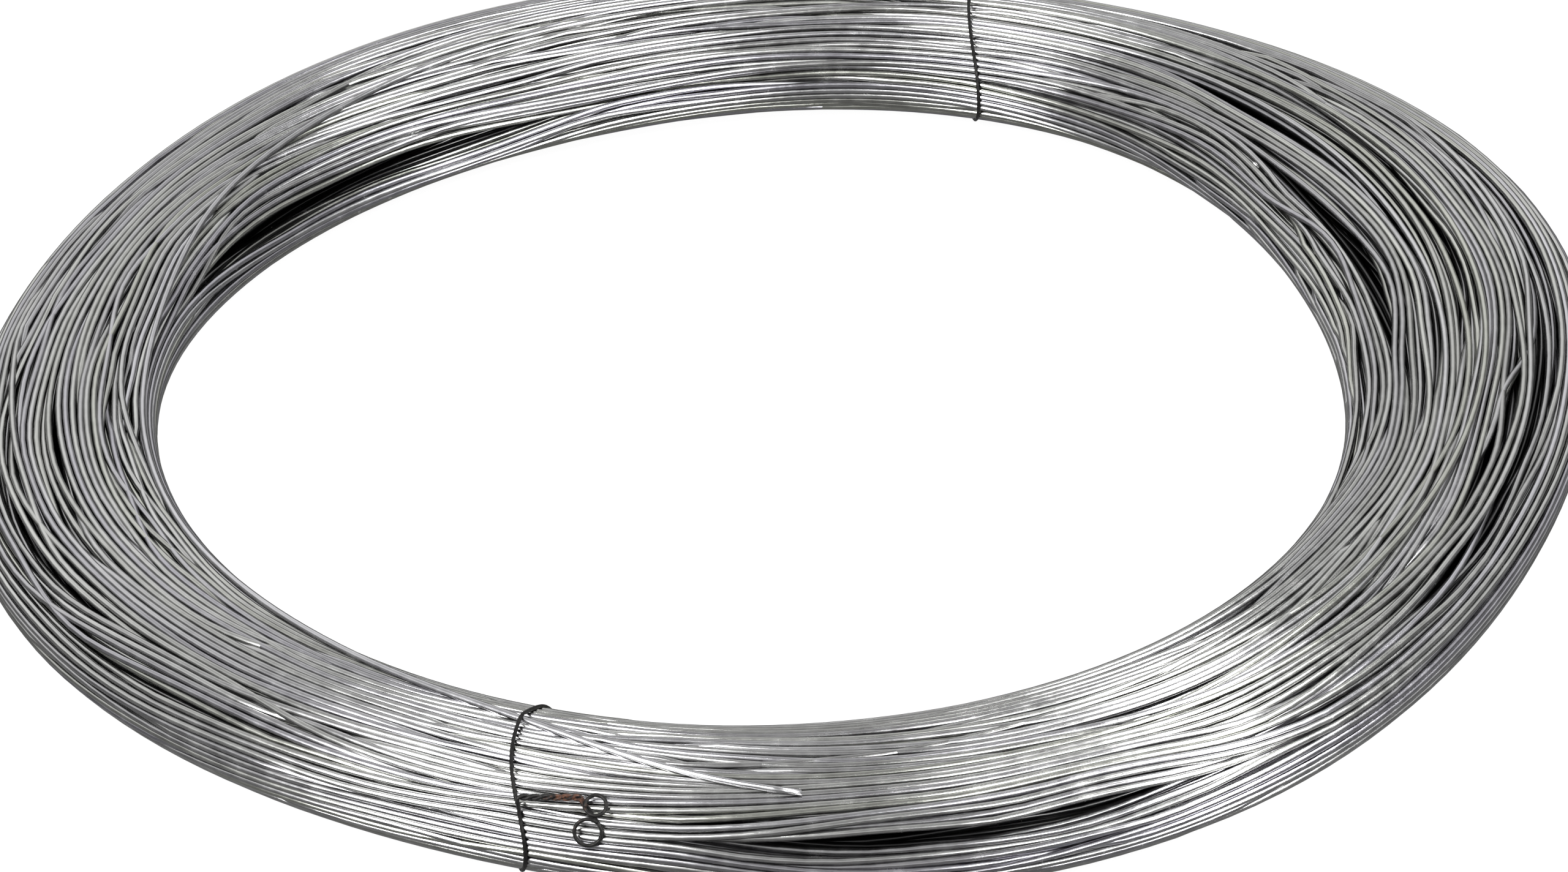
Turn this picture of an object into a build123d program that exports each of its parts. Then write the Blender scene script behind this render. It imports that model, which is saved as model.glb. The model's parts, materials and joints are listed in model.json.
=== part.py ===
from build123d import *
import os
from math import cos, radians, sin

# Coil of drawn, galvanised steel wire lying flat, bound by two twisted tie wires.
# Millimetres, +Z up, origin on the floor under the centre of the bore.
# The bundle of turns is one turned solid. Its turns show as rings on its two ends.

# Wound bundle, as its cross-section
BORE_DIAMETER = 438.0
BUNDLE_WIDTH = 81.0
BORE_WALL = 8.0
INNER_SHOULDER = 13.0
CROWN_RISE = 6.0
REST_LAND = 34.0
SIDE_FACET_ANGLE = 30.0

# Turns on the ends: each ring there stands for a few turns of the wire side by side
WIRE_DIAMETER = 2.5
TURNS_PER_RING = 2
RING_DEPTH = 1.2

# Tie wires
TIE_DIAMETER = 1.4
TIE_CLEARANCE = 0.2
TIE_BITE = 1.8
TIE_SIDES = 6
KNOT_BEND = 2.5
TWIST_PITCH = 9.0
TWIST_STEPS = 6
STRAND_GAP = 0.1
CURL_DIAMETER = 9.5
CURL_REACH = 9.0
CURL_SLOPE_ANGLE = 15.0
CURL_SWEEP_ANGLE = 330.0
CURL_STEPS = 12
CUT_OVERRUN = 6.0

# Each tie: ring angle and skew in degrees, knot place across the bundle, twists in its tail, rolled ends or not
TIES = {
    "tie_wire_front": dict(angle=-111.5, skew=20.5, knot_share=0.72, twists=3, curled=True),
    "tie_wire_back": dict(angle=70.3, skew=13.7, knot_share=0.82, twists=2, curled=False),
}

# Places worked out from the sizes above
bore_radius = BORE_DIAMETER / 2
outer_radius = bore_radius + BUNDLE_WIDTH
middle_radius = bore_radius + BUNDLE_WIDTH / 2
side_height = BORE_WALL + 2 * INNER_SHOULDER
bundle_height = side_height + CROWN_RISE
outer_shoulder = side_height / 2
end_inner = bore_radius + INNER_SHOULDER
end_outer = outer_radius - outer_shoulder
end_middle = (end_inner + end_outer) / 2
land_inner = end_middle - REST_LAND / 2
land_outer = end_middle + REST_LAND / 2
ring_pitch = TURNS_PER_RING * WIRE_DIAMETER
tie_radius = TIE_DIAMETER / 2
knot_height = bundle_height + TIE_DIAMETER + TIE_CLEARANCE


def crown(radius):
    """Height of the domed top end at a distance from the coil's axis."""
    share = (radius - end_middle) / (end_outer - end_middle)
    return side_height + CROWN_RISE * (1 - share**2)


def floor_level(radius):
    """Height of the bottom end, flat on the floor."""
    return 0


def side_round(centre, radius, start, turn):
    """Points along a rounded side of the outline, in flat steps, with both its ends."""
    steps = max(1, round(abs(turn) / SIDE_FACET_ANGLE))
    angles = [radians(start + turn * step / steps) for step in range(steps + 1)]
    return [(centre[0] + radius * cos(angle), centre[1] + radius * sin(angle)) for angle in angles]


def rings(start, end, level, depth):
    """Grooves and crests in turn across one end of the bundle, after the crest at its start."""
    count = max(1, round(abs(end - start) / ring_pitch))
    step = (end - start) / count
    points = []
    for ring in range(count):
        groove = start + (ring + 1 / 2) * step
        crest = start + (ring + 1) * step
        points.append((groove, level(groove) + depth))
        points.append((crest, level(crest)))
    return points


def bundle_outline():
    """Cross-section of the wound turns, from the top of the bore's wall round to its foot."""
    wall_top = side_height - INNER_SHOULDER
    points = side_round((end_inner, wall_top), INNER_SHOULDER, 180, -90)
    points += rings(end_inner, end_outer, crown, -RING_DEPTH)
    points += side_round((end_outer, outer_shoulder), outer_shoulder, 90, -180)[1:]
    points += rings(end_outer, land_outer, floor_level, RING_DEPTH)
    points.append((land_inner, 0))
    points += rings(land_inner, end_inner, floor_level, RING_DEPTH)
    points += side_round((end_inner, INNER_SHOULDER), INNER_SHOULDER, -90, -90)[1:]
    return points


def bundle():
    """The wound turns as one turned solid with its bore."""
    section = make_face(Polyline(*bundle_outline(), close=True))
    return revolve(Plane.XZ * section, axis=Axis.Z)


def tie_plane(angle, skew):
    """Upright plane across the bundle at a ring angle, turned by the skew of the tie."""
    place = radians(angle)
    heading = radians(angle + skew)
    return Plane(
        origin=(middle_radius * cos(place), middle_radius * sin(place), 0),
        x_dir=(cos(heading), sin(heading), 0),
        z_dir=(sin(heading), -cos(heading), 0),
    )


def knot_offset(knot_share):
    """Place of the knot along the tie's plane, from the middle of the bundle."""
    return (knot_share - 1 / 2) * BUNDLE_WIDTH


def tie_route(skew, knot_share):
    """Closed line of a tie round the bundle, drawn flat: across is x, up is y."""
    half_width = BUNDLE_WIDTH / 2 / cos(radians(skew)) - TIE_BITE
    low = TIE_BITE
    high = side_height - TIE_BITE
    knot = (knot_offset(knot_share), knot_height)
    points = [(-half_width, low), (half_width, low), (half_width, high), knot, (-half_width, high)]
    inner_bend = INNER_SHOULDER - TIE_BITE
    outer_bend = outer_shoulder - TIE_BITE
    bends = [inner_bend, outer_bend, outer_bend, KNOT_BEND, inner_bend]
    return FilletPolyline(*points, radius=bends, close=True)


def tie_channel(plane, route):
    """What the tie's loop presses out of the bundle: a slot down to the inside of its wire."""
    width = TIE_DIAMETER + 2 * TIE_CLEARANCE
    core = offset(make_face(route), -(tie_radius + TIE_CLEARANCE))
    band = offset(make_face(route), CUT_OVERRUN)
    return plane * extrude(band - core, width / 2, both=True)


def wire_along(path, bend=Transition.TRANSFORMED):
    """The tie's own wire swept along a line."""
    start = Plane(origin=path @ 0, z_dir=path % 0)
    wire = start * RegularPolygon(tie_radius, TIE_SIDES)
    return sweep(wire, path=path, is_frenet=True, transition=bend)


def tail(twists):
    """The two ends of a tie twisted together, from the origin downwards, each in short straight runs."""
    reach = (tie_radius + STRAND_GAP / 2) / cos(radians(180 / TWIST_STEPS))
    points = []
    for step in range(twists * TWIST_STEPS + 1):
        angle = radians(360 * step / TWIST_STEPS)
        points.append((reach * cos(angle), reach * sin(angle), -TWIST_PITCH * step / TWIST_STEPS))
    strand = wire_along(Polyline(*points), Transition.RIGHT)
    return strand + Rot(0, 0, 180) * strand


def curl(reach, turn):
    """One cut end that runs outwards and is rolled into a ring, to one side or the other."""
    ring_radius = CURL_DIAMETER / 2 - tie_radius
    points = [(0, 0)] if reach > 0 else []
    for step in range(CURL_STEPS + 1):
        angle = radians(turn * (CURL_SWEEP_ANGLE * step / CURL_STEPS - 90))
        points.append((reach + ring_radius * cos(angle), ring_radius * (turn + sin(angle))))
    end = wire_along(Polyline(*points), Transition.RIGHT)
    return Rot(0, 0, -CURL_SLOPE_ANGLE) * Rot(90, 0, 0) * end


def tie(angle, skew, knot_share, twists, curled):
    """One tie wire: its loop, its twisted tail and the rolled ends."""
    knot = Pos(knot_offset(knot_share), knot_height, 0)
    tail_end = Pos(0, 0, -twists * TWIST_PITCH)
    piece = wire_along(Wire(tie_route(skew, knot_share).edges())) + knot * tail(twists)
    if curled:
        piece += knot * tail_end * curl(0, 1)
        piece += knot * tail_end * curl(CURL_REACH, -1)
    return tie_plane(angle, skew) * piece


def main():
    """Build the bundle and its ties, and write one file for each."""
    os.makedirs("parts", exist_ok=True)
    coil = bundle()
    for name, sizes in TIES.items():
        plane = tie_plane(sizes["angle"], sizes["skew"])
        coil -= tie_channel(plane, tie_route(sizes["skew"], sizes["knot_share"]))
        export_step(tie(**sizes), os.path.join("parts", name + ".step"))
    export_step(coil, os.path.join("parts", "wire_coil.step"))


main()
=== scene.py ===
"""Looks of a flat-lying coil of galvanised steel wire that two twisted tie wires hold together."""

import json
import logging
from dataclasses import dataclass
from enum import Enum
from math import acos, atan2, cos, hypot, pi, radians, sin

import bmesh
import bpy
import numpy as np
from bpy.types import Material, Node, NodeSocket, NodeTree, Object
from mathutils import Matrix, Quaternion, Vector


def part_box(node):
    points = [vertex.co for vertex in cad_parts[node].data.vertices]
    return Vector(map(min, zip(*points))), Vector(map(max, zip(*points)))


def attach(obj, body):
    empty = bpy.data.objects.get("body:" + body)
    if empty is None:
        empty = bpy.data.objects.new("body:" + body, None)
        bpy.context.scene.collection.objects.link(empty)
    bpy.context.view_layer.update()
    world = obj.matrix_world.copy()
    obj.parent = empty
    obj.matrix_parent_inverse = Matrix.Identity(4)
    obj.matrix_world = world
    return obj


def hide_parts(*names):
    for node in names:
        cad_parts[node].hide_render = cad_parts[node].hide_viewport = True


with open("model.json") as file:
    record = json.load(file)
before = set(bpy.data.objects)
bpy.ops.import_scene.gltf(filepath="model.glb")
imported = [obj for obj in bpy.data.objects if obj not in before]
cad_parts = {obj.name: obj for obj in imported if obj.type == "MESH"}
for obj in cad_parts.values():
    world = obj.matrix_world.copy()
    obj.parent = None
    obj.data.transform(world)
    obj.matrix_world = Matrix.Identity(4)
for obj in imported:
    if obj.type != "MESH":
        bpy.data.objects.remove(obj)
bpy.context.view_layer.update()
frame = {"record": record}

Array = np.ndarray
Pair = tuple[float, float]
Colour = tuple[float, float, float]
SEED = 11
FULL_TURN = 2 * pi
UPWARDS = np.array([0.0, 0.0, 1.0])
log = logging.getLogger("wire_coil")


class Slot(Enum):
    """Names of the record's material slots."""

    WIRE = "galvanised_wire"
    TIE = "tie_wire"


def blur(values: Array, width: float) -> Array:
    """Smooth values along their first axis.

    Args:
        values: One row for each place along a wire.
        width: Standard deviation of the Gaussian, in rows.

    Returns:
        The smoothed rows.
    """
    count = values.shape[0]
    gain = np.exp(-2 * (pi * np.fft.rfftfreq(count) * width) ** 2)
    gain = gain.reshape(-1, *[1] * (values.ndim - 1))
    return np.fft.irfft(np.fft.rfft(values, axis=0) * gain, n=count, axis=0)


def blur_between(before: Array, values: Array, after: Array, width: float) -> Array:
    """Smooth values between rows that go on at both ends, and leave those off again."""
    smooth = blur(np.concatenate([before, values, after]), width)
    return smooth[len(before) : len(before) + len(values)]


def smooth_noise(rng: np.random.Generator, count: int, width: float) -> Array:
    """Random values that change slowly along a wire, over a width in rows, with a deviation of 1."""
    values = blur(rng.standard_normal(count), width)
    return values / values.std()


def eased(values: Array) -> Array:
    """Smooth step from 0 to 1 over values from 0 to 1."""
    share = np.clip(values, 0, 1)
    return share * share * (3 - 2 * share)


def turned(angle: Array) -> Array:
    """Angle brought into the range from minus half a turn to half a turn."""
    return (angle + pi) % FULL_TURN - pi


def rolled_tube(name: str, centres: Array, side: Array, up: Array, radius: float, sides: int,
                marks: dict[str, Array]) -> Object:
    """Round wire along a line: a flat grid is rolled up round the line, welded and closed.

    Args:
        name: Name of the new object.
        centres: Points of the line.
        side: Unit vectors across the line, one for each point.
        up: Unit vectors across the line and across side.
        radius: Radius of the wire.
        sides: Number of flats round the wire.
        marks: Values for the finish, each with one number for each point.

    Returns:
        The new object, linked to the scene, with smooth faces.
    """
    rings = len(centres)
    grid = bmesh.new()
    bmesh.ops.create_grid(grid, x_segments=sides, y_segments=rings - 1, size=1)
    mesh = bpy.data.meshes.new(name)
    grid.to_mesh(mesh)
    grid.free()
    angle = np.linspace(0, FULL_TURN, sides + 1) - pi / 2
    angle[-1] = angle[0]
    rim = np.cos(angle)[None, :, None] * side[:, None, :] + np.sin(angle)[None, :, None] * up[:, None, :]
    points = centres[:, None, :] + radius * rim
    mesh.vertices.foreach_set("co", points.astype(np.float32).ravel())
    for mark, values in marks.items():
        layer = mesh.attributes.new(mark, "FLOAT", "POINT")
        layer.data.foreach_set("value", np.repeat(values, sides + 1).astype(np.float32))
    tube = bmesh.new()
    tube.from_mesh(mesh)
    tube.verts.ensure_lookup_table()
    seam = [tube.verts[ring * (sides + 1) + column] for ring in range(rings) for column in (0, sides)]
    bmesh.ops.remove_doubles(tube, verts=seam, dist=radius / 1000)
    bmesh.ops.holes_fill(tube, edges=[edge for edge in tube.edges if edge.is_boundary], sides=sides)
    bmesh.ops.recalc_face_normals(tube, faces=tube.faces)
    tube.to_mesh(mesh)
    tube.free()
    mesh.shade_smooth()
    piece = bpy.data.objects.new(name, mesh)
    bpy.context.scene.collection.objects.link(piece)
    return piece


def carried_frames(points: Array) -> tuple[Array, Array]:
    """Cross directions along a line that don't twist about it.

    Args:
        points: Points of the line.

    Returns:
        Two unit vectors across the line for each point.
    """
    ahead = np.gradient(points, axis=0)
    ahead /= np.linalg.norm(ahead, axis=1)[:, None]
    side = np.empty_like(points)
    carried = np.cross(ahead[0], UPWARDS)
    for row, direction in enumerate(ahead):
        carried = carried - direction * carried.dot(direction)
        carried = carried / np.linalg.norm(carried)
        side[row] = carried
    return side, np.cross(ahead, side)


def even_steps(points: Array, step: float) -> Array:
    """Points at even distances along a line.

    Args:
        points: Points of the line.
        step: Distance from one new point to the next.

    Returns:
        The new points, with both ends of the line.
    """
    run = np.concatenate([[0], np.cumsum(np.linalg.norm(np.diff(points, axis=0), axis=1))])
    places = np.linspace(0, run[-1], max(2, round(run[-1] / step) + 1))
    return np.stack([np.interp(places, run, axis) for axis in points.T], axis=1)


@dataclass(frozen=True)
class RingEdge:
    """One edge of the ring seen from above: its distance from the middle radius, and how it is off round.

    Each wave is a cosine's and a sine's amount. The first shifts the edge, the second makes it oval,
    and the others give it three and four corners.
    """

    mean: float
    waves: tuple[Pair, ...]

    def at(self, azimuth: Array) -> Array:
        """Distance of the edge from the middle radius, outwards."""
        edge = self.mean + 0 * azimuth
        for order, (cosine, sine) in enumerate(self.waves, start=1):
            edge = edge + cosine * np.cos(order * azimuth) + sine * np.sin(order * azimuth)
        return edge


@dataclass(frozen=True)
class BundleShape:
    """Outline of the wound turns: a rounded section whose width changes round the ring."""

    middle_radius: float
    bore_edge: RingEdge = RingEdge(
        -0.0391, ((-0.0057, -0.0050), (0.0, -0.0001), (-0.0046, -0.0002), (-0.0006, -0.0022))
    )
    outer_edge: RingEdge = RingEdge(
        0.0404, ((0.0033, 0.0019), (0.0035, -0.0016), (-0.0003, 0.0022), (-0.0001, 0.0056))
    )
    half_height: float = 0.0200
    roundness: float = 2.4
    narrow_rise: float = 0.25
    flank_end: float = 0.985

    @property
    def half_width(self) -> float:
        """Half the section's mean width."""
        return (self.outer_edge.mean - self.bore_edge.mean) / 2

    def middle(self, azimuth: Array) -> Array:
        """How far the section's middle lies outside the middle radius."""
        return (self.outer_edge.at(azimuth) + self.bore_edge.at(azimuth)) / 2

    def spread(self, azimuth: Array) -> Array:
        """How wide the section is at an azimuth, as a share of its mean width."""
        return (self.outer_edge.at(azimuth) - self.bore_edge.at(azimuth)) / 2 / self.half_width

    def rise(self, azimuth: Array) -> Array:
        """How tall the section is at an azimuth, as a share of its mean height."""
        return self.spread(azimuth) ** -self.narrow_rise

    def level(self, across: Array, height: Array) -> Array:
        """How far out points lie, from shares of the half width and height, where 1 is the edge."""
        return np.abs(across) ** self.roundness + np.abs(height) ** self.roundness

    def polar(self, point: Array) -> Pair:
        """Azimuth of a point, and its distance from the middle radius, outwards."""
        return atan2(point[1], point[0]), hypot(point[0], point[1]) - self.middle_radius

    def row_half_width(self, height: float, inset: float) -> float:
        """Half the section's width at a height above its middle, inside an inset."""
        share = min(1.0, abs(height) / (self.half_height - inset))
        return (self.half_width - inset) * (1 - share**self.roundness) ** (1 / self.roundness)

    def flank(self, azimuth: float, across: float) -> Pair:
        """Height and slope of the bundle's upper side.

        Args:
            azimuth: Azimuth in radians.
            across: Distance from the middle radius, outwards.

        Returns:
            The height above the floor, and how much it rises for each step outwards.
        """
        half_width = self.half_width * float(self.spread(azimuth))
        half_height = self.half_height * float(self.rise(azimuth))
        share = (across - float(self.middle(azimuth))) / half_width
        share = np.clip(share, -self.flank_end, self.flank_end)
        rest = 1 - abs(share) ** self.roundness
        slope = -np.sign(share) * abs(share) ** (self.roundness - 1) * rest ** (1 / self.roundness - 1)
        height = self.half_height + half_height * rest ** (1 / self.roundness)
        return height, slope * half_height / half_width

    def in_mean_section(self, reach: Array, height: Array, azimuth: Array) -> tuple[Array, Array]:
        """Places across and heights in the sections round the ring, brought to the mean section."""
        across = (reach - self.middle(azimuth)) / self.spread(azimuth)
        return across, (height - self.half_height) / self.rise(azimuth)

    def held(self, places: Array, azimuth: Array, inset: float) -> Array:
        """Bring points that lie outside the section back to its edge.

        Args:
            places: Place across and height of each point.
            azimuth: Azimuth of each point.
            inset: How far inside the section's edge the points must stay.

        Returns:
            The new places.
        """
        middle = np.stack([self.middle(azimuth), np.full(len(azimuth), self.half_height)], axis=1)
        half_width = self.half_width * self.spread(azimuth) - inset
        half_height = self.half_height * self.rise(azimuth) - inset
        away = places - middle
        level = self.level(away[:, 0] / half_width, away[:, 1] / half_height)
        return middle + away * np.maximum(1, level)[:, None] ** (-1 / self.roundness)


@dataclass(frozen=True)
class Gap:
    """A slit where two groups of turns part, so that one looks into the bundle.

    Azimuths and places are in degrees. A place of 0 is the outer side, 90 the top, 180 the bore's side.
    The slit fades out past its ends, turns close to it move most, and those in the middle of the bundle
    stay. Softness and influence are counted in openings.
    """

    start_azimuth: float
    end_azimuth: float
    start_place: float
    end_place: float
    opening: float
    fade: float = 1.3
    softness: float = 1.2
    influence: float = 2.5
    skin: float = 3.0


GAPS = (
    Gap(112, 162, 188, 160, 0.0140),
    Gap(-4, 34, 143, 160, 0.0080),
    Gap(-95, -62, 4, 26, 0.0125),
    Gap(-108, -82, 14, 34, 0.0030),
    Gap(30, 80, 160, 176, 0.0040),
    Gap(22, 58, 80, 97, 0.0035),
    Gap(126, 156, 66, 80, 0.0065),
    Gap(-162, -120, 40, 64, 0.0040),
    Gap(-30, -2, 158, 171, 0.0075),
    Gap(-70, -54, 2, 12, 0.0040),
    Gap(168, 204, 96, 80, 0.0070),
    Gap(-52, -20, 92, 76, 0.0040),
    Gap(-172, -126, 10, 28, 0.0050),
    Gap(-150, -114, 50, 70, 0.0040),
    Gap(-56, -18, 12, 32, 0.0050),
    Gap(-62, -32, 30, 50, 0.0045),
    Gap(-46, -12, 45, 62, 0.0050),
    Gap(-40, -6, 20, 38, 0.0045),
    Gap(-58, -24, 62, 80, 0.0040),
    Gap(150, 186, 44, 62, 0.0075),
    Gap(186, 222, 24, 40, 0.0080),
    Gap(204, 238, 66, 52, 0.0040),
    Gap(140, 176, 20, 34, 0.0045),
    Gap(208, 244, 12, 26, 0.0040),
)


@dataclass(frozen=True)
class SmallSlits:
    """Small slits at random places of the upper side, on the left and the right of the ring, in degrees."""

    count: int = 46
    azimuths: float = 62.0
    lengths: Pair = (18.0, 44.0)
    places: Pair = (4.0, 160.0)
    drift: float = 16.0
    openings: Pair = (0.0025, 0.0055)

    def gaps(self) -> tuple[Gap, ...]:
        """Draw the slits, on the right and the left in turn.

        Returns:
            The slits.
        """
        rng = np.random.default_rng(SEED + 1)
        drawn = []
        for number in range(self.count):
            azimuth = 180 * (number % 2) + rng.uniform(-self.azimuths, self.azimuths)
            half_length = rng.uniform(*self.lengths) / 2
            place = rng.uniform(*self.places)
            half_drift = rng.uniform(-self.drift, self.drift) / 2
            ends = (azimuth - half_length, azimuth + half_length, place - half_drift, place + half_drift)
            drawn.append(Gap(*ends, rng.uniform(*self.openings)))
        return tuple(drawn)


@dataclass
class WoundWire:
    """The coil's one length of wire, wound turn upon turn from the floor to the top of the bundle.

    A slide is a wave of turns across the bundle: its waves round the ring, its amount, and how many turns
    it takes to change. The last turn's route has azimuths, and shares of half the width.
    """

    shape: BundleShape
    gaps: tuple[Gap, ...] = SmallSlits().gaps() + GAPS
    tie_azimuths: tuple[float, ...] = (-110.5, 70.0)
    diameter: float = 0.0025
    loosest: float = 1.5
    tightening: float = 0.998
    slack: float = 1.03
    turns: int = 340
    stations: int = 176
    sides: int = 8
    pieces: int = 6
    end_azimuth: float = -85.4
    bend_stations: float = 3.3
    rounds: int = 80
    slides: tuple[tuple[int, float, float], ...] = (
        (1, 0.0080, 3.5), (2, 0.0045, 2.5), (3, 0.0028, 1.5), (5, 0.0011, 1.0),
    )
    wobble: float = 0.0013
    wobble_turns: float = 0.08
    rise: float = 0.0020
    rise_turns: float = 0.15
    tie_lift: float = 0.0014
    tie_span: float = 6.0
    pair_limit: float = 1.5
    pair_rounds: int = 8
    push_gain: float = 1.6
    home_pull: float = 0.01
    last_route: tuple[Pair, ...] = (
        (-60, 0.0), (0, 0.15), (60, 0.10), (120, -0.10), (150, -0.45), (160, -0.72), (170, -0.88),
        (190, -0.88), (225, -0.70), (250, -0.32), (256.5, 0.05), (261.4, 0.26), (266, 0.41),
        (276, 0.58),
    )
    join_stations: int = 24
    climb_stations: int = 20
    reach_blur: float = 3.0
    rest_blur: float = 2.0
    sectors: int = 40
    bridged_sectors: int = 2
    tone_turns: float = 0.20
    hue_turns: float = 0.15

    def __post_init__(self) -> None:
        """Set up the places along the wire and its random draws."""
        self.rng = np.random.default_rng(SEED)
        self.count = (self.turns - 1) * self.stations
        self.turn = np.arange(self.count) / self.stations
        self.azimuth = radians(self.end_azimuth) + FULL_TURN * self.turn
        self.reach = np.zeros(0)
        self.height = np.zeros(0)

    def azimuths(self, count: int) -> Array:
        """Azimuths of the first places along the wire."""
        return radians(self.end_azimuth) + FULL_TURN * np.arange(count) / self.stations

    def rows_of_homes(self, spacing: float) -> Array:
        """Places of the turns in the mean section, row upon row, to and fro.

        Args:
            spacing: Distance between turns.

        Returns:
            For each turn its place across, its height from the middle, and half its row's width.
        """
        row_height = spacing * sin(pi / 3)
        inset = self.diameter / 2
        rows = 1 + int(2 * (self.shape.half_height - inset) / row_height)
        homes = []
        for row in range(rows):
            height = (row - (rows - 1) / 2) * row_height
            half = self.shape.row_half_width(height, inset)
            fitting = 1 + int(2 * half / spacing)
            across = (np.arange(fitting) - (fitting - 1) / 2) * spacing
            if row % 2:
                across = across[::-1]
            homes += [(place, height, half) for place in across]
        return np.array(homes)

    def homes(self) -> Array:
        """Homes of all turns but the last, at the widest spacing that holds them."""
        spacing = self.loosest * self.diameter
        while len(self.rows_of_homes(spacing)) < self.turns - 1:
            spacing *= self.tightening
        return self.rows_of_homes(spacing)[: self.turns - 1]

    def near_ties(self) -> Array:
        """How close each place is to a tie, from 0 to 1."""
        span = radians(self.tie_span)
        offsets = [turned(self.azimuth - radians(tie)) / span for tie in self.tie_azimuths]
        return np.max([np.exp(-(offset**4)) for offset in offsets], axis=0)

    def open_gap(self, gap: Gap, across: Array, height: Array) -> tuple[Array, Array]:
        """Push the turns on both sides of a slit apart, round the section's edge.

        Args:
            gap: The slit.
            across: Place of each point across the section.
            height: Height of each point above the section's middle.

        Returns:
            The new places and heights.
        """
        middle = radians(gap.start_azimuth + gap.end_azimuth) / 2
        half_span = radians(gap.end_azimuth - gap.start_azimuth) / 2
        along = turned(self.azimuth - middle) / half_span
        window = eased(gap.fade - np.abs(along))
        place = radians(gap.start_place + gap.end_place) / 2
        place = place + np.clip(along, -1, 1) * radians(gap.end_place - gap.start_place) / 2
        radius = np.hypot(across, height)
        angle = np.arctan2(height, across)
        distance = radius * turned(angle - place)
        passage = np.round((self.azimuth - middle) / FULL_TURN).astype(int)
        passage -= passage.min()
        side = np.sign(np.bincount(passage, window * distance))[passage]
        clear = np.maximum(side * distance, 0)
        clear = clear + gap.opening / 2 * np.exp(-clear / (gap.softness * gap.opening))
        level = self.shape.level(across / self.shape.half_width, height / self.shape.half_height)
        near = np.exp(-((distance / (gap.influence * gap.opening)) ** 2))
        shift = window * near * eased(gap.skin * level) * (side * clear - distance)
        angle = angle + shift / np.maximum(radius, self.diameter)
        return radius * np.cos(angle), radius * np.sin(angle)

    def laid_turns(self) -> Array:
        """Where the turns would fall if they could pass through each other.

        Returns:
            Place across and height of each point along the wire.
        """
        homes = self.homes()
        ends = np.vstack([homes, homes[-1:]])
        numbers = np.arange(len(ends))
        across, height, half = (np.interp(self.turn, numbers, column) for column in ends.T)
        freedom = 1 - np.clip(across / np.maximum(half, self.diameter), -1, 1) ** 2
        slide = np.zeros(self.count)
        for order, amount, held in self.slides:
            for wave in (np.cos, np.sin):
                amounts = amount * smooth_noise(self.rng, self.count, held * self.stations)
                slide += amounts * wave(order * self.azimuth)
        slide += self.wobble * smooth_noise(self.rng, self.count, self.wobble_turns * self.stations)
        across = across + slide * freedom
        rise = self.rise * smooth_noise(self.rng, self.count, self.rise_turns * self.stations)
        return self.placed(across, height + rise)

    def placed(self, across: Array, height: Array) -> Array:
        """Places in the mean section, brought to the sections round the ring and counted from the floor."""
        reach = self.shape.middle(self.azimuth) + across * self.shape.spread(self.azimuth)
        return np.stack([reach, height * self.shape.rise(self.azimuth) + self.shape.half_height], axis=1)

    def close_pairs(self, places: Array) -> tuple[Array, Array]:
        """Points of different turns that lie near each other in the same section.

        Args:
            places: Place across and height of each point.

        Returns:
            The points' numbers, first and second of each pair.
        """
        limit = self.pair_limit * self.diameter
        turns = self.turns - 1
        sections = places.reshape(turns, self.stations, 2)
        firsts = []
        seconds = []
        for station in range(self.stations):
            order = np.argsort(sections[:, station, 0])
            across = sections[order, station, 0]
            height = sections[order, station, 1]
            beyond = np.searchsorted(across, across + limit)
            counts = beyond - np.arange(turns) - 1
            first = np.repeat(np.arange(turns), counts)
            second = first + 1 + np.arange(len(first)) - np.repeat(np.cumsum(counts) - counts, counts)
            near = np.abs(height[first] - height[second]) < limit
            firsts.append(order[first[near]] * self.stations + station)
            seconds.append(order[second[near]] * self.stations + station)
        return np.concatenate(firsts), np.concatenate(seconds)

    def settle(self, laid: Array, rounds: int) -> Array:
        """Push turns that overlap apart, in bends that wire of this thickness takes.

        Args:
            laid: Place across and height of each point as laid.
            rounds: How often they are pushed.

        Returns:
            The same points with the turns beside and on each other.
        """
        places = laid.copy()
        floor = self.diameter / 2 + self.tie_lift * self.near_ties()
        for number in range(rounds):
            if number % self.pair_rounds == 0:
                first, second = self.close_pairs(places)
            between = places[second] - places[first]
            distance = np.sqrt((between * between).sum(axis=1)) + self.diameter / 1e6
            push = between * (np.maximum(0, self.slack * self.diameter - distance) / 2 / distance)[:, None]
            forwards = [np.bincount(second, part, self.count) for part in push.T]
            backwards = [np.bincount(first, part, self.count) for part in push.T]
            moves = np.stack(forwards, axis=1) - np.stack(backwards, axis=1)
            places += self.push_gain * blur(moves, self.bend_stations) + self.home_pull * (laid - places)
            places = self.shape.held(places, self.azimuth, self.diameter / 2)
            places[:, 1] = np.maximum(places[:, 1], floor)
        return places

    def rest_height(self, azimuth: float, across: float, radius: float) -> float:
        """Height at which the middle of another wire rests on the turns.

        Args:
            azimuth: Azimuth of the place, in radians.
            across: Distance of the place from the middle radius, outwards.
            radius: Radius of the other wire.

        Returns:
            The height above the floor.
        """
        station = (azimuth - radians(self.end_azimuth)) / FULL_TURN % 1 * self.stations
        before = np.arange(0, len(self.reach) - 1, self.stations) + int(station)
        before = before[before < len(self.reach) - 1]
        share = station % 1
        reach = self.reach[before] * (1 - share) + self.reach[before + 1] * share
        height = self.height[before] * (1 - share) + self.height[before + 1] * share
        contact = self.diameter / 2 + radius
        under = np.abs(reach - across) < contact
        if not under.any():
            return radius
        return float((height[under] + np.sqrt(contact**2 - (reach[under] - across) ** 2)).max())

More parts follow.
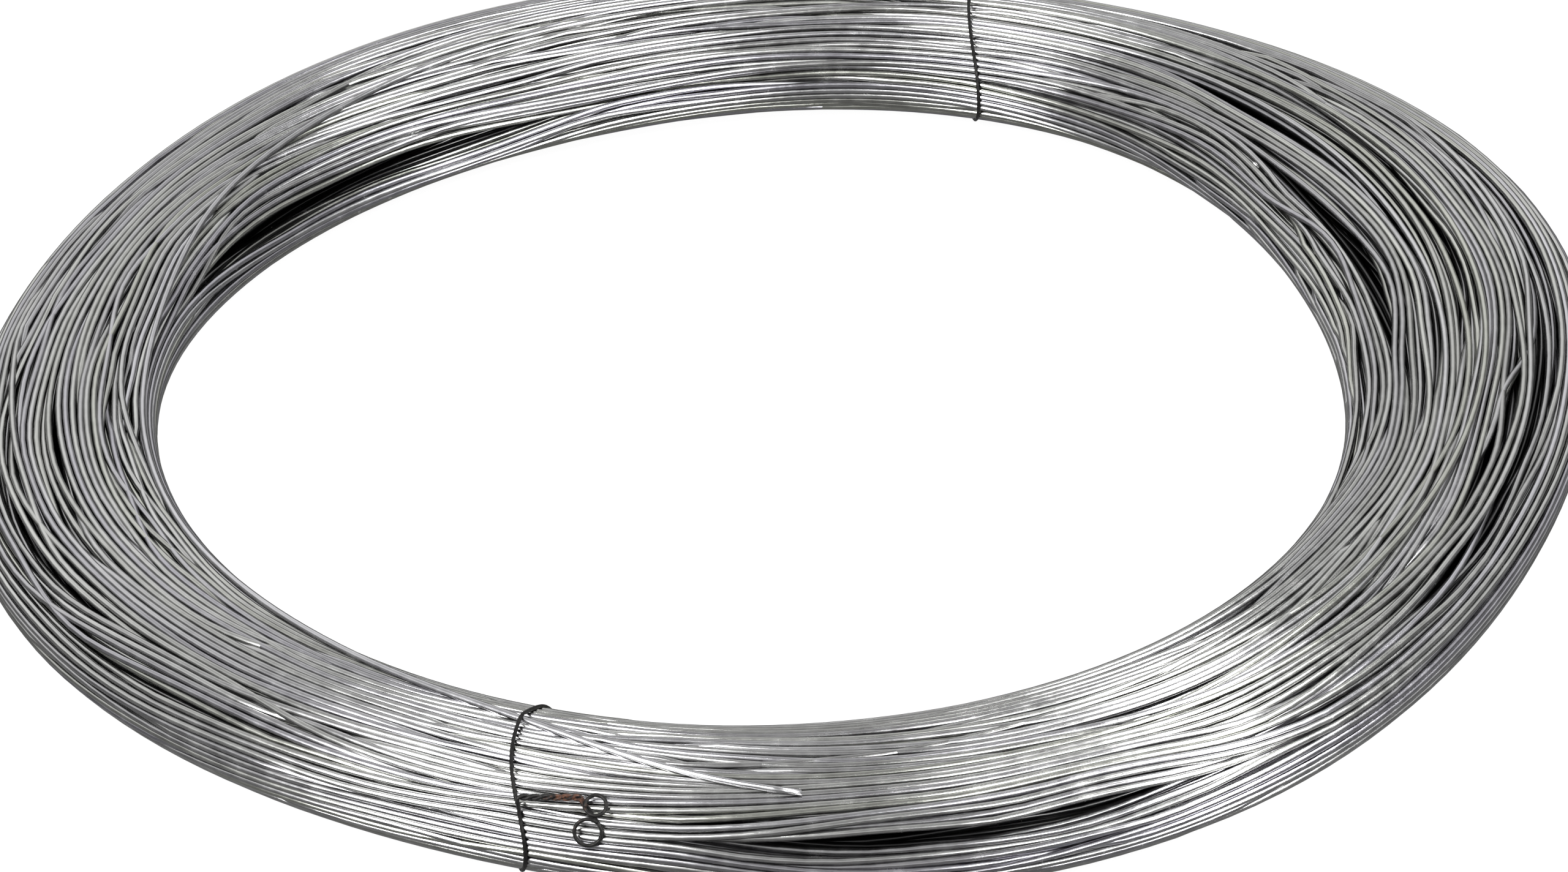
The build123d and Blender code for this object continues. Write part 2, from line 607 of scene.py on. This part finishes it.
    def last_turn(self) -> None:
        """Lay the last turn on top: along the bore's edge at the left, then across to its cut end."""
        azimuth = self.azimuths(self.stations)
        places = [radians(place) for place, _ in self.last_route]
        share = np.interp(azimuth, places, [share for _, share in self.last_route])
        reach = self.shape.middle(azimuth) + share * self.shape.half_width * self.shape.spread(azimuth)
        start = eased(np.arange(self.stations) / self.join_stations)
        reach = self.reach[-1] * (1 - start) + reach * start
        before = np.full(self.join_stations, reach[0])
        ahead = reach[-1] + np.arange(1, self.join_stations + 1) * (reach[-1] - reach[-2])
        reach = blur_between(before, reach, ahead, self.reach_blur)
        rest = np.array([self.rest_height(a, r, self.diameter / 2) for a, r in zip(azimuth, reach)])
        climb = eased(np.arange(self.stations) / self.climb_stations)
        rest = self.height[-1] * (1 - climb) + rest * climb
        before = np.full(self.join_stations, rest[0])
        ahead = np.full(self.join_stations, rest[-1])
        rest = blur_between(before, rest, ahead, self.rest_blur)
        self.reach = np.concatenate([self.reach, reach])
        self.height = np.concatenate([self.height, rest])

    def wind(self) -> None:
        """Work out the wire's course: the turns are laid and settle, part at the slits and settle again."""
        places = self.settle(self.laid_turns(), self.rounds)
        across, height = self.shape.in_mean_section(*places.T, self.azimuth)
        for gap in self.gaps:
            across, height = self.open_gap(gap, across, height)
        places = self.settle(self.placed(across, height), self.rounds // 2)
        self.reach, self.height = places.T
        self.last_turn()

    def points(self) -> Array:
        """Points of the wire's middle line, in the part's frame."""
        azimuth = self.azimuths(len(self.reach))
        radius = self.shape.middle_radius + self.reach
        return np.stack([radius * np.cos(azimuth), radius * np.sin(azimuth), self.height], axis=1)

    def depth(self) -> Array:
        """How deep each point of the wire lies under the outside of the bundle; the finish paints shade
        from it.

        Returns:
            The depths: about 0 for a turn that lies open, a few millimetres for one seen in a slit.
        """
        shape = self.shape
        count = len(self.reach)
        across, height = shape.in_mean_section(self.reach, self.height, self.azimuths(count))
        across = across / shape.half_width
        height = height / shape.half_height
        level = shape.level(across, height) ** (1 / shape.roundness)
        station = np.arange(count) % self.stations
        sector = (np.arctan2(height, across) / FULL_TURN * self.sectors).astype(int) % self.sectors
        outside = np.zeros((self.stations, self.sectors))
        wound = slice(0, count - self.stations)
        np.maximum.at(outside, (station[wound], sector[wound]), level[wound])
        steps = range(-self.bridged_sectors, self.bridged_sectors + 1)
        outside = np.max([np.roll(outside, step, axis=1) for step in steps], axis=0)
        return np.maximum(0, outside[station, sector] - level) * shape.half_height

    def build(self, material: Material) -> list[Object]:
        """Make the wire, as a few pieces of many turns each.

        Args:
            material: Finish of the wire.

        Returns:
            The new pieces.
        """
        centres = self.points()
        count = len(centres)
        azimuth = np.arctan2(centres[:, 1], centres[:, 0])
        outwards = np.stack([np.cos(azimuth), np.sin(azimuth), np.zeros(count)], axis=1)
        upwards = np.tile(UPWARDS, (count, 1))
        marks = {
            # wire_depth makes the finish's painted shade on turns deep in the bundle.
            "wire_depth": self.depth(),
            "wire_tone": smooth_noise(self.rng, count, self.tone_turns * self.stations),
            "wire_hue": smooth_noise(self.rng, count, self.hue_turns * self.stations),
        }
        made = []
        length = count // self.pieces
        for number in range(self.pieces):
            stretch = slice(number * length, min(count, (number + 1) * length + 1))
            piece = rolled_tube(
                f"wire_turns_{number + 1}", centres[stretch], outwards[stretch], upwards[stretch],
                self.diameter / 2, self.sides, {name: values[stretch] for name, values in marks.items()},
            )
            piece.data.materials.append(material)
            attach(piece, "root")
            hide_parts("wire_coil")
            made.append(piece)
        return made


@dataclass(frozen=True)
class Curl:
    """A cut end rolled into a ring. Its middle is given from the tail's end: along it, outwards and up."""

    along: float
    outwards: float
    lift: float
    radius: float
    hand: int
    sweep: float


@dataclass
class TieWire:
    """A soft thin wire round the bundle, with its ends twisted together on top."""

    wire: WoundWire
    node: str
    azimuth: float
    heading: float
    knot_across: float
    twists: int
    bow: float
    curls: tuple[Curl, ...]
    diameter: float = 0.00135
    bite: float = 0.0003
    twist_pitch: float = 0.0070
    tail_lift: float = 0.6
    strand_gap: float = 1.02
    bow_middle: float = 0.1
    bow_planes: int = 7
    bow_reach: float = 1.2
    directions: int = 720
    loop_blur: float = 2.0
    line_blur: float = 1.2
    knot_points: int = 3
    curl_points: int = 60
    lead_points: int = 12
    margin: int = 8
    rust_share: float = 0.8
    rust_reach: float = 0.007
    step: float = 0.0006
    sides: int = 10

    def __post_init__(self) -> None:
        """Set up the tie's plane and its point on the floor, under the middle of the bundle."""
        self.radius = self.diameter / 2
        self.shape = self.wire.shape
        place = radians(self.azimuth)
        heading = radians(self.heading)
        self.origin = self.shape.middle_radius * np.array([cos(place), sin(place), 0.0])
        self.across = np.array([cos(heading), sin(heading), 0.0])
        self.normal = np.array([sin(heading), -cos(heading), 0.0])

    def sideways(self, across: Array) -> Array:
        """How far the tie lies off its plane, as it bows to one side at the bundle's edges."""
        return self.bow * (across / self.shape.half_width - self.bow_middle) ** 2

    def crossings(self, shift: float) -> Array:
        """Where the coil's wire passes through a plane beside the tie's own.

        Args:
            shift: Distance from the tie's plane.

        Returns:
            Places across and heights.
        """
        points = self.wire.points() - self.origin - shift * self.normal
        ahead = points @ self.normal
        near = np.linalg.norm(points, axis=1) < 3 * self.shape.half_width
        passing = np.flatnonzero((ahead[:-1] * ahead[1:] <= 0) & near[:-1] & near[1:])
        share = ahead[passing] / (ahead[passing] - ahead[passing + 1])
        middles = points[passing] + share[:, None] * (points[passing + 1] - points[passing])
        return np.stack([middles @ self.across, middles[:, 2]], axis=1)

    def loop(self) -> Array:
        """Line of the tie drawn tight round the turns, from the knot and back to it.

        Returns:
            Places across and heights.
        """
        angle = np.linspace(0, FULL_TURN, self.directions, endpoint=False)
        facing = np.stack([np.cos(angle), np.sin(angle)], axis=1)
        shifts = np.linspace(0, self.bow_reach, self.bow_planes) * self.bow
        rings = []
        for shift in shifts:
            turns = self.crossings(shift)
            touching = turns[np.argmax(turns @ facing.T, axis=0)]
            rings.append(touching + (self.wire.diameter / 2 + self.radius - self.bite) * facing)
        rings = np.stack(rings)
        ring = rings[0]
        columns = np.arange(self.directions)
        for _ in range(3):
            place = np.clip(self.sideways(ring[:, 0]) / shifts[1], 0, len(shifts) - 1.001)
            before = place.astype(int)
            share = (place - before)[:, None]
            ring = rings[before, columns] * (1 - share) + rings[before + 1, columns] * share
        ring[:, 1] = np.maximum(ring[:, 1], self.radius)
        ring = even_steps(np.vstack([ring, ring[:1]]), self.step)[:-1]
        ring = blur(ring, self.loop_blur)
        upper = ring[:, 1] > ring[:, 1].mean()
        knot = np.argmin(np.where(upper, np.abs(ring[:, 0] - self.knot_across), 1.0))
        return np.roll(ring, -knot, axis=0)

    def placed(self, ring: Array) -> Array:
        """Bring the tie's loop from its drawing, across and up, to its place round the bundle."""
        flat = self.origin + ring[:, :1] * self.across + ring[:, 1:] * UPWARDS
        return flat + self.sideways(ring[:, :1]) * self.normal

    def tail_axis(self, knot: Array) -> Array:
        """Middle line of the twisted tail, resting on the bundle.

        Args:
            knot: Point on the loop that the tail starts from.

        Returns:
            Points of the line.
        """
        length = self.twists * self.twist_pitch
        run = np.linspace(0, length, max(2, round(length / self.step)))
        line = knot[None, :] - run[:, None] * self.normal[None, :]
        rest = [self.wire.rest_height(*self.shape.polar(point), self.diameter) for point in line]
        line[:, 2] = max(knot[2] + self.tail_lift * self.diameter, *rest)
        return line

    def strand(self, axis: Array, phase: float) -> Array:
        """One of the two wires of the tail, from the knot outwards.

        Args:
            axis: Middle line of the tail.
            phase: Angle that the wire starts from.

        Returns:
            Points of the wire's line.
        """
        run = np.linspace(0, FULL_TURN * self.twists, len(axis)) + phase
        offset = np.cos(run)[:, None] * self.across + np.sin(run)[:, None] * UPWARDS
        return axis + self.strand_gap * self.radius * offset

    def rolled_end(self, start: Array, curl: Curl) -> Array:
        """A cut end that runs from the tail to a ring lying on the bundle.

        Args:
            start: End of the tail's wire.
            curl: Where the ring is and how it turns.

        Returns:
            Points of the line, after the start.
        """
        middle = start - curl.along * self.normal + curl.outwards * self.across
        height, slope = self.shape.flank(*self.shape.polar(middle))
        downhill = self.across + np.array([0.0, 0.0, slope])
        downhill /= np.linalg.norm(downhill)
        middle[2] = height + curl.lift * hypot(1, slope)
        back = start - middle
        towards = atan2(back @ downhill, -back @ self.normal)
        first = towards + curl.hand * acos(min(1.0, curl.radius / np.linalg.norm(back)))
        angle = first + curl.hand * np.linspace(0, radians(curl.sweep), self.curl_points)
        ring = middle - curl.radius * np.cos(angle)[:, None] * self.normal
        ring = ring + curl.radius * np.sin(angle)[:, None] * downhill
        lead = start + np.linspace(0, 1, self.lead_points)[1:, None] * (ring[0] - start)
        return np.vstack([lead, ring[1:]])

    def line(self, loop: Array) -> Array:
        """The whole tie from one cut end to the other.

        Args:
            loop: Points of the tie's loop round the bundle, from the knot.

        Returns:
            Points of its middle line.
        """
        axis = self.tail_axis(loop[0])
        ends = []
        for number, phase in enumerate((0.0, pi)):
            end = self.strand(axis, phase)
            if number < len(self.curls):
                end = np.vstack([end, self.rolled_end(end[-1], self.curls[number])])
            ends.append(end)
        trimmed = loop[self.knot_points : -self.knot_points]
        course = even_steps(np.vstack([ends[0][::-1], trimmed[::-1], ends[1]]), self.step)
        before = np.repeat(course[:1], self.margin, 0)
        after = np.repeat(course[-1:], self.margin, 0)
        return blur_between(before, course, after, self.line_blur)

    def build(self, material: Material) -> Object:
        """Make the tie.

        Args:
            material: Finish of the tie.

        Returns:
            The new piece.
        """
        loop = self.placed(self.loop())
        centres = self.line(loop)
        side, up = carried_frames(centres)
        rust_middle = loop[0] - self.rust_share * self.twists * self.twist_pitch * self.normal
        away = np.linalg.norm(centres - rust_middle, axis=1)
        marks = {"rust": np.exp(-((away / self.rust_reach) ** 2))}
        piece = rolled_tube(self.node + "_wire", centres, side, up, self.radius, self.sides, marks)
        piece.data.materials.append(material)
        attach(piece, "root")
        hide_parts(self.node)
        return piece


class Shading:
    """A node tree with short ways to add nodes and wire them up."""

    def __init__(self, tree: NodeTree) -> None:
        """Start from a tree."""
        self.tree = tree

    def add(self, kind: str, settings: dict | None = None, *values: object, **named: object) -> Node:
        """Add a node with its own settings, and feed its sockets.

        Args:
            kind: Type of the node.
            settings: Values of the node's own properties.
            values: What its first sockets get, in order.
            named: What other sockets get, by name.

        Returns:
            The new node.
        """
        node = self.tree.nodes.new(kind)
        for name, value in (settings or {}).items():
            setattr(node, name, value)
        for socket, value in zip(node.inputs, values):
            self.put(socket, value)
        self.feed(node, **named)
        return node

    def feed(self, node: Node, **named: object) -> None:
        """Set or link sockets of a node by their names, with an underscore for each space."""
        for name, value in named.items():
            self.put(node.inputs[name.replace("_", " ")], value)

    def put(self, socket: NodeSocket, value: object) -> None:
        """Set a socket, or link another socket to it."""
        if isinstance(value, NodeSocket):
            self.tree.links.new(value, socket)
        else:
            socket.default_value = value

    def math(self, operation: str, *values: object) -> NodeSocket:
        """Add a Math node and return its result."""
        return self.add("ShaderNodeMath", {"operation": operation}, *values).outputs[0]

    def mix(self, share: object, first: object, second: object) -> NodeSocket:
        """Mix two colours and return the result."""
        node = self.add("ShaderNodeMix", {"data_type": "RGBA"}, share)
        self.put(node.inputs[6], first)
        self.put(node.inputs[7], second)
        return node.outputs[2]

    def spread(self, value: object, *ends: float) -> NodeSocket:
        """Map the range of the first two ends to that of the last two, and return the result."""
        return self.add("ShaderNodeMapRange", None, value, *ends).outputs[0]

    def attribute(self, name: str) -> NodeSocket:
        """Read a mark of the mesh as a number."""
        return self.add("ShaderNodeAttribute", {"attribute_name": name}).outputs["Fac"]


def new_material(name: str) -> tuple[Material, Shading, Node]:
    """Start a material.

    Args:
        name: Name of the material.

    Returns:
        The material, its node tree and its Principled BSDF.
    """
    material = bpy.data.materials.new(name)
    material.use_nodes = True
    return material, Shading(material.node_tree), material.node_tree.nodes["Principled BSDF"]


def metal_skin_group() -> NodeTree:
    """Group with the marks that drawing and handling leave on a wire's skin.

    Returns:
        A group with a mottle from 0 to 1, and a height for bump.
    """
    group = bpy.data.node_groups.new("metal_skin", "ShaderNodeTree")
    ends = (("Mottle Scale", "INPUT"), ("Grain Scale", "INPUT"), ("Mottle", "OUTPUT"), ("Height", "OUTPUT"))
    for name, end in ends:
        group.interface.new_socket(name, in_out=end, socket_type="NodeSocketFloat")
    shading = Shading(group)
    scales = shading.add("NodeGroupInput").outputs
    place = shading.add("ShaderNodeTexCoord").outputs["Object"]
    mottle = shading.add("ShaderNodeTexNoise", Vector=place, Scale=scales[0], Detail=4.0, Roughness=0.6)
    grain = shading.add("ShaderNodeTexNoise", Vector=place, Scale=scales[1], Detail=2.0)
    patches = shading.spread(mottle.outputs[0], 0.3, 0.7, 0.0, 1.0)
    shading.add("NodeGroupOutput", None, patches, grain.outputs[0])
    return group


@dataclass(frozen=True)
class GalvanisedFinish:
    """Bright zinc on drawn steel: neutral grey, faint tints, a little dulling, painted shade deep in the
    bundle.
    """

    skin: NodeTree
    dark: Colour = (0.10, 0.10, 0.105)
    light: Colour = (0.43, 0.435, 0.43)
    warm: Colour = (0.285, 0.290, 0.240)
    cool: Colour = (0.270, 0.260, 0.298)
    tint: float = 0.5
    # Painted shade: near-black for turns deep in the bundle, mixed in between the two depths below.
    painted_shade: Colour = (0.03, 0.03, 0.03)
    shade_start_depth: float = 0.0018
    shade_full_depth: float = 0.0055
    smooth: float = 0.18
    dull: float = 0.28
    drawn: float = 0.5
    drawn_turn: float = 0.25
    tone_range: float = 2.0
    mottle_share: float = 0.35
    mottle_scale: float = 140.0

    def material(self) -> Material:
        """Build the material.

        Returns:
            The material.
        """
        material, shading, surface = new_material("galvanised_wire")
        mottle = shading.add("ShaderNodeGroup", {"node_tree": self.skin}, self.mottle_scale).outputs[0]
        ends = (-self.tone_range, self.tone_range, 0.0, 1.0)
        tone = shading.spread(shading.attribute("wire_tone"), *ends)
        hue = shading.spread(shading.attribute("wire_hue"), *ends)
        tone_share = shading.math("MULTIPLY", tone, 1 - self.mottle_share)
        share = shading.math("MULTIPLY_ADD", mottle, self.mottle_share, tone_share)
        grey = shading.mix(share, (*self.dark, 1), (*self.light, 1))
        tint = shading.mix(hue, (*self.warm, 1), (*self.cool, 1))
        # Painted shade: the deeper a turn lies under the bundle's outside, the closer its colour comes to
        # near-black.
        depth = shading.attribute("wire_depth")
        painted_shade_share = shading.spread(depth, self.shade_start_depth, self.shade_full_depth, 0.0, 1.0)
        place = shading.add("ShaderNodeTexCoord").outputs["Object"]
        along = shading.add("ShaderNodeVectorMath", {"operation": "CROSS_PRODUCT"}, (0, 0, 1), place)
        shading.feed(
            surface,
            Base_Color=shading.mix(painted_shade_share, shading.mix(self.tint, grey, tint), (*self.painted_shade, 1)),
            Metallic=1.0,
            Roughness=shading.spread(mottle, 0, 1, self.smooth, self.dull),
            Tangent=along.outputs[0],
            Anisotropic=self.drawn,
            Anisotropic_Rotation=self.drawn_turn,
        )
        return material


@dataclass(frozen=True)
class TieFinish:
    """Soft annealed wire: dark scale, with brown rust about the twist."""

    skin: NodeTree
    dark: Colour = (0.003, 0.003, 0.003)
    worn: Colour = (0.012, 0.0115, 0.011)
    rust: Colour = (0.042, 0.017, 0.009)
    metal: float = 0.6
    gloss: float = 0.1
    smooth: float = 0.36
    dull: float = 0.6
    rust_start: float = 0.12
    rust_full: float = 0.35
    mottle_scale: float = 700.0
    grain_scale: float = 3000.0
    grain_strength: float = 0.25
    grain_depth: float = 0.0002

    def material(self) -> Material:
        """Build the material.

        Returns:
            The material.
        """
        material, shading, surface = new_material("tie_wire")
        scales = (self.mottle_scale, self.grain_scale)
        mottle, grain = shading.add("ShaderNodeGroup", {"node_tree": self.skin}, *scales).outputs
        scale = shading.mix(mottle, (*self.dark, 1), (*self.worn, 1))
        patch = shading.math("MULTIPLY", shading.attribute("rust"), mottle)
        rusty = shading.spread(patch, self.rust_start, self.rust_full, 0.0, 1.0)
        bump = shading.add("ShaderNodeBump", Strength=self.grain_strength, Distance=self.grain_depth)
        shading.feed(bump, Height=grain)
        shading.feed(
            surface,
            Base_Color=shading.mix(rusty, scale, (*self.rust, 1)),
            Metallic=shading.spread(rusty, 0, 1, self.metal, 0.0),
            Specular_IOR_Level=self.gloss,
            Roughness=shading.spread(mottle, 0, 1, self.dull, self.smooth),
            Normal=bump.outputs[0],
        )
        return material


@dataclass(frozen=True)
class FloorFinish:
    """Plain white floor that keeps a faint shadow, and that the wires mirror as a calm grey."""

    colour: Colour = (0.86, 0.86, 0.86)
    dull: float = 0.9
    glow: float = 0.93
    mirrored: float = 0.34

    def material(self) -> Material:
        """Build the material.

        Returns:
            The material.
        """
        material, shading, surface = new_material("white_floor")
        shading.feed(surface, Base_Color=(*self.colour, 1), Roughness=self.dull, Specular_IOR_Level=0.0)
        seen = shading.add("ShaderNodeLightPath").outputs
        strength = shading.spread(seen["Is Glossy Ray"], 0, 1, 1.0, self.mirrored)
        white = shading.add("ShaderNodeEmission", Color=(1, 1, 1, 1), Strength=strength)
        share = shading.math("MULTIPLY", seen["Is Camera Ray"], self.glow)
        share = shading.math("MAXIMUM", share, seen["Is Glossy Ray"])
        both = shading.add("ShaderNodeMixShader", None, share, surface.outputs[0], white.outputs[0])
        shading.feed(material.node_tree.nodes["Material Output"], Surface=both.outputs[0])
        return material


@dataclass(frozen=True)
class Lamp:
    """A soft studio lamp, placed by its azimuth from the camera's side and its height angle, in degrees.

    Its top leans towards growing azimuths, so that all wires of one part of the ring mirror it together.
    """

    name: str
    aim: Pair
    azimuth: float
    elevation: float
    lean: float
    distance: float
    width: float
    height: float
    power: float
    beam: float = 180.0

    def build(self, target: Vector) -> None:
        """Hang the lamp and turn it to its aim.

        Args:
            target: Point that the aim is counted from.
        """
        target = target + Vector((*self.aim, 0))
        light = bpy.data.lights.new(self.name, "AREA")
        light.shape = "RECTANGLE"
        light.size = self.width
        light.size_y = self.height
        light.energy = self.power
        light.spread = radians(self.beam)
        lamp = bpy.data.objects.new(self.name, light)
        bpy.context.scene.collection.objects.link(lamp)
        turn = radians(self.azimuth - 90)
        rise = radians(self.elevation)
        away = Vector((cos(rise) * cos(turn), cos(rise) * sin(turn), sin(rise)))
        lamp.location = target + self.distance * away
        upright = away.to_track_quat("Z", "Y")
        lamp.rotation_euler = (upright @ Quaternion((0, 0, 1), -radians(self.lean))).to_euler()


@dataclass(frozen=True)
class PhotoCamera:
    """Camera at the photograph's viewing angle. Pixels are those of the whole image."""

    image_width: int = 2560
    image_height: int = 1424
    focal_pixels: float = 9080.0
    distance: float = 2.077
    elevation: float = 33.2
    roll: float = -2.9
    ring_pixel: Pair = (1262.6, 626.0)
    sensor: float = 36.0

    def build(self, target: Vector) -> None:
        """Set up the camera so that the ring's middle falls on its pixel.

        Args:
            target: Middle of the ring.
        """
        data = bpy.data.cameras.new("photo_camera")
        data.sensor_fit = "HORIZONTAL"
        data.sensor_width = self.sensor
        data.lens = self.focal_pixels / self.image_width * self.sensor
        data.clip_end = 50
        rise = radians(self.elevation)
        roll = radians(self.roll)
        ahead = Vector((0, cos(rise), -sin(rise)))
        level = Vector((1, 0, 0))
        upright = Vector((0, sin(rise), cos(rise)))
        right = cos(roll) * level + sin(roll) * upright
        up = cos(roll) * upright - sin(roll) * level
        place = target - self.distance * ahead
        off_right = (self.ring_pixel[0] - self.image_width / 2) / self.focal_pixels
        off_up = (self.image_height / 2 - self.ring_pixel[1]) / self.focal_pixels
        ahead = (ahead - off_right * right - off_up * up).normalized()
        right = (right - right.dot(ahead) * ahead).normalized()
        up = right.cross(ahead)
        camera = bpy.data.objects.new("photo_camera", data)
        camera.matrix_world = Matrix(
            [(right[axis], up[axis], -ahead[axis], place[axis]) for axis in range(3)] + [(0, 0, 0, 1)]
        )
        bpy.context.scene.collection.objects.link(camera)
        bpy.context.scene.camera = camera


@dataclass(frozen=True)
class Studio:
    """White floor, white surroundings and the lamps.

    The ranges are those of a direction's parts: its height for the first two, then to the right and away
    from the camera's side.
    """

    floor_radius: float = 6.0
    fill: float = 0.45
    horizon: float = 0.18
    band: float = 1.94
    zenith: float = 0.84
    left_side: float = 1.22
    right_side: float = 0.84
    near_side: float = 0.66
    band_rise: Pair = (0.15, 0.54)
    band_fall: Pair = (0.55, 0.77)
    left_to_right: Pair = (-0.3, 0.6)
    near_to_far: Pair = (-0.2, 0.4)
    lamps: tuple[Lamp, ...] = (
        Lamp("lamp_left", (0, 0), -48, 36, 7, 2.2, 0.65, 2.3, 170),
        Lamp("lamp_right_low", (0.13, -0.22), 50, 20, 25, 1.5, 0.50, 0.6, 1.5, 30),
        Lamp("lamp_right_middle", (0.13, -0.22), 66, 41, 38, 1.5, 0.50, 0.6, 1.5, 30),
        Lamp("lamp_right_high", (0.13, -0.22), 92, 58, 50, 1.5, 0.50, 0.6, 1.5, 30),
        Lamp("lamp_back_low", (-0.06, 0.25), 24, 22, 5, 1.2, 0.40, 0.5, 0.65, 30),
        Lamp("lamp_back_high", (-0.06, 0.25), 27, 48, 10, 1.2, 0.40, 0.5, 0.65, 30),
    )

    def build(self, target: Vector) -> None:
        """Make the floor, the world and the lamps.

        Args:
            target: Middle of the object.
        """
        scene = bpy.context.scene
        scene.view_settings.view_transform = "Standard"
        disc = bmesh.new()
        bmesh.ops.create_circle(disc, cap_ends=True, segments=96, radius=self.floor_radius)
        mesh = bpy.data.meshes.new("floor")
        disc.to_mesh(mesh)
        disc.free()
        mesh.materials.append(FloorFinish().material())
        floor = bpy.data.objects.new("floor", mesh)
        scene.collection.objects.link(floor)
        self.surround()
        for lamp in self.lamps:
            lamp.build(target)

    def surround(self) -> None:
        """White to the camera, a bright band over a dark horizon in reflections, and a soft fill light."""
        world = bpy.data.worlds.new("studio")
        bpy.context.scene.world = world
        world.use_nodes = True
        shading = Shading(world.node_tree)
        seen = shading.add("ShaderNodeLightPath").outputs
        direction = shading.add("ShaderNodeTexCoord").outputs["Generated"]
        towards = shading.add("ShaderNodeSeparateXYZ", Vector=direction).outputs
        walls = shading.spread(towards["Z"], *self.band_rise, self.horizon, self.band)
        ceiling = shading.spread(towards["Z"], *self.band_fall, 0.0, self.zenith - self.band)
        side = shading.spread(towards["X"], *self.left_to_right, self.left_side, self.right_side)
        near = shading.spread(towards["Y"], *self.near_to_far, self.near_side, 1.0)
        shade = shading.math("MULTIPLY", side, near)
        sky = shading.math("MULTIPLY", shading.math("ADD", walls, ceiling), shade)
        fill = shading.spread(seen["Is Camera Ray"], 0, 1, self.fill, 1.0)
        mirrored = shading.add("ShaderNodeMix", {"data_type": "FLOAT"}, seen["Is Glossy Ray"])
        shading.put(mirrored.inputs[2], fill)
        shading.put(mirrored.inputs[3], sky)
        backdrop = world.node_tree.nodes["Background"]
        shading.feed(backdrop, Color=(1, 1, 1, 1), Strength=mirrored.outputs[0])


FRONT_CURLS = (
    Curl(along=0.0055, outwards=0.0028, lift=0.0020, radius=0.0036, hand=-1, sweep=345),
    Curl(along=0.0030, outwards=0.0096, lift=0.0010, radius=0.0046, hand=1, sweep=355),
)


def main() -> None:
    """Build the coil's pieces, the studio and the camera, and log each piece's face count."""
    logging.basicConfig(level=logging.INFO, format="%(name)s: %(message)s")
    bore = next(mount for mount in frame["record"]["mounts"] if mount["name"] == "bore")
    bore_radius = bore["dims"]["r_mm"] / 1000
    outer_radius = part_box("wire_coil")[1].x
    shape = BundleShape((bore_radius + outer_radius) / 2)
    skin = metal_skin_group()
    wire = WoundWire(shape)
    wire.wind()
    pieces = wire.build(GalvanisedFinish(skin).material())
    ties = (
        TieWire(wire, "tie_wire_front", -111.0, -95.5, 0.0272, twists=3, bow=-0.0115, curls=FRONT_CURLS),
        TieWire(wire, "tie_wire_back", 70.3, 84.0, 0.0265, twists=2, bow=0.004, curls=()),
    )
    tie_material = TieFinish(skin).material()
    pieces += [tie.build(tie_material) for tie in ties]
    for piece in pieces:
        log.info("%s: %d faces", piece.name, len(piece.data.polygons))
    middle = Vector((0, 0, shape.half_height))
    Studio().build(middle)
    PhotoCamera().build(middle)


if __name__ == "__main__":
    main()
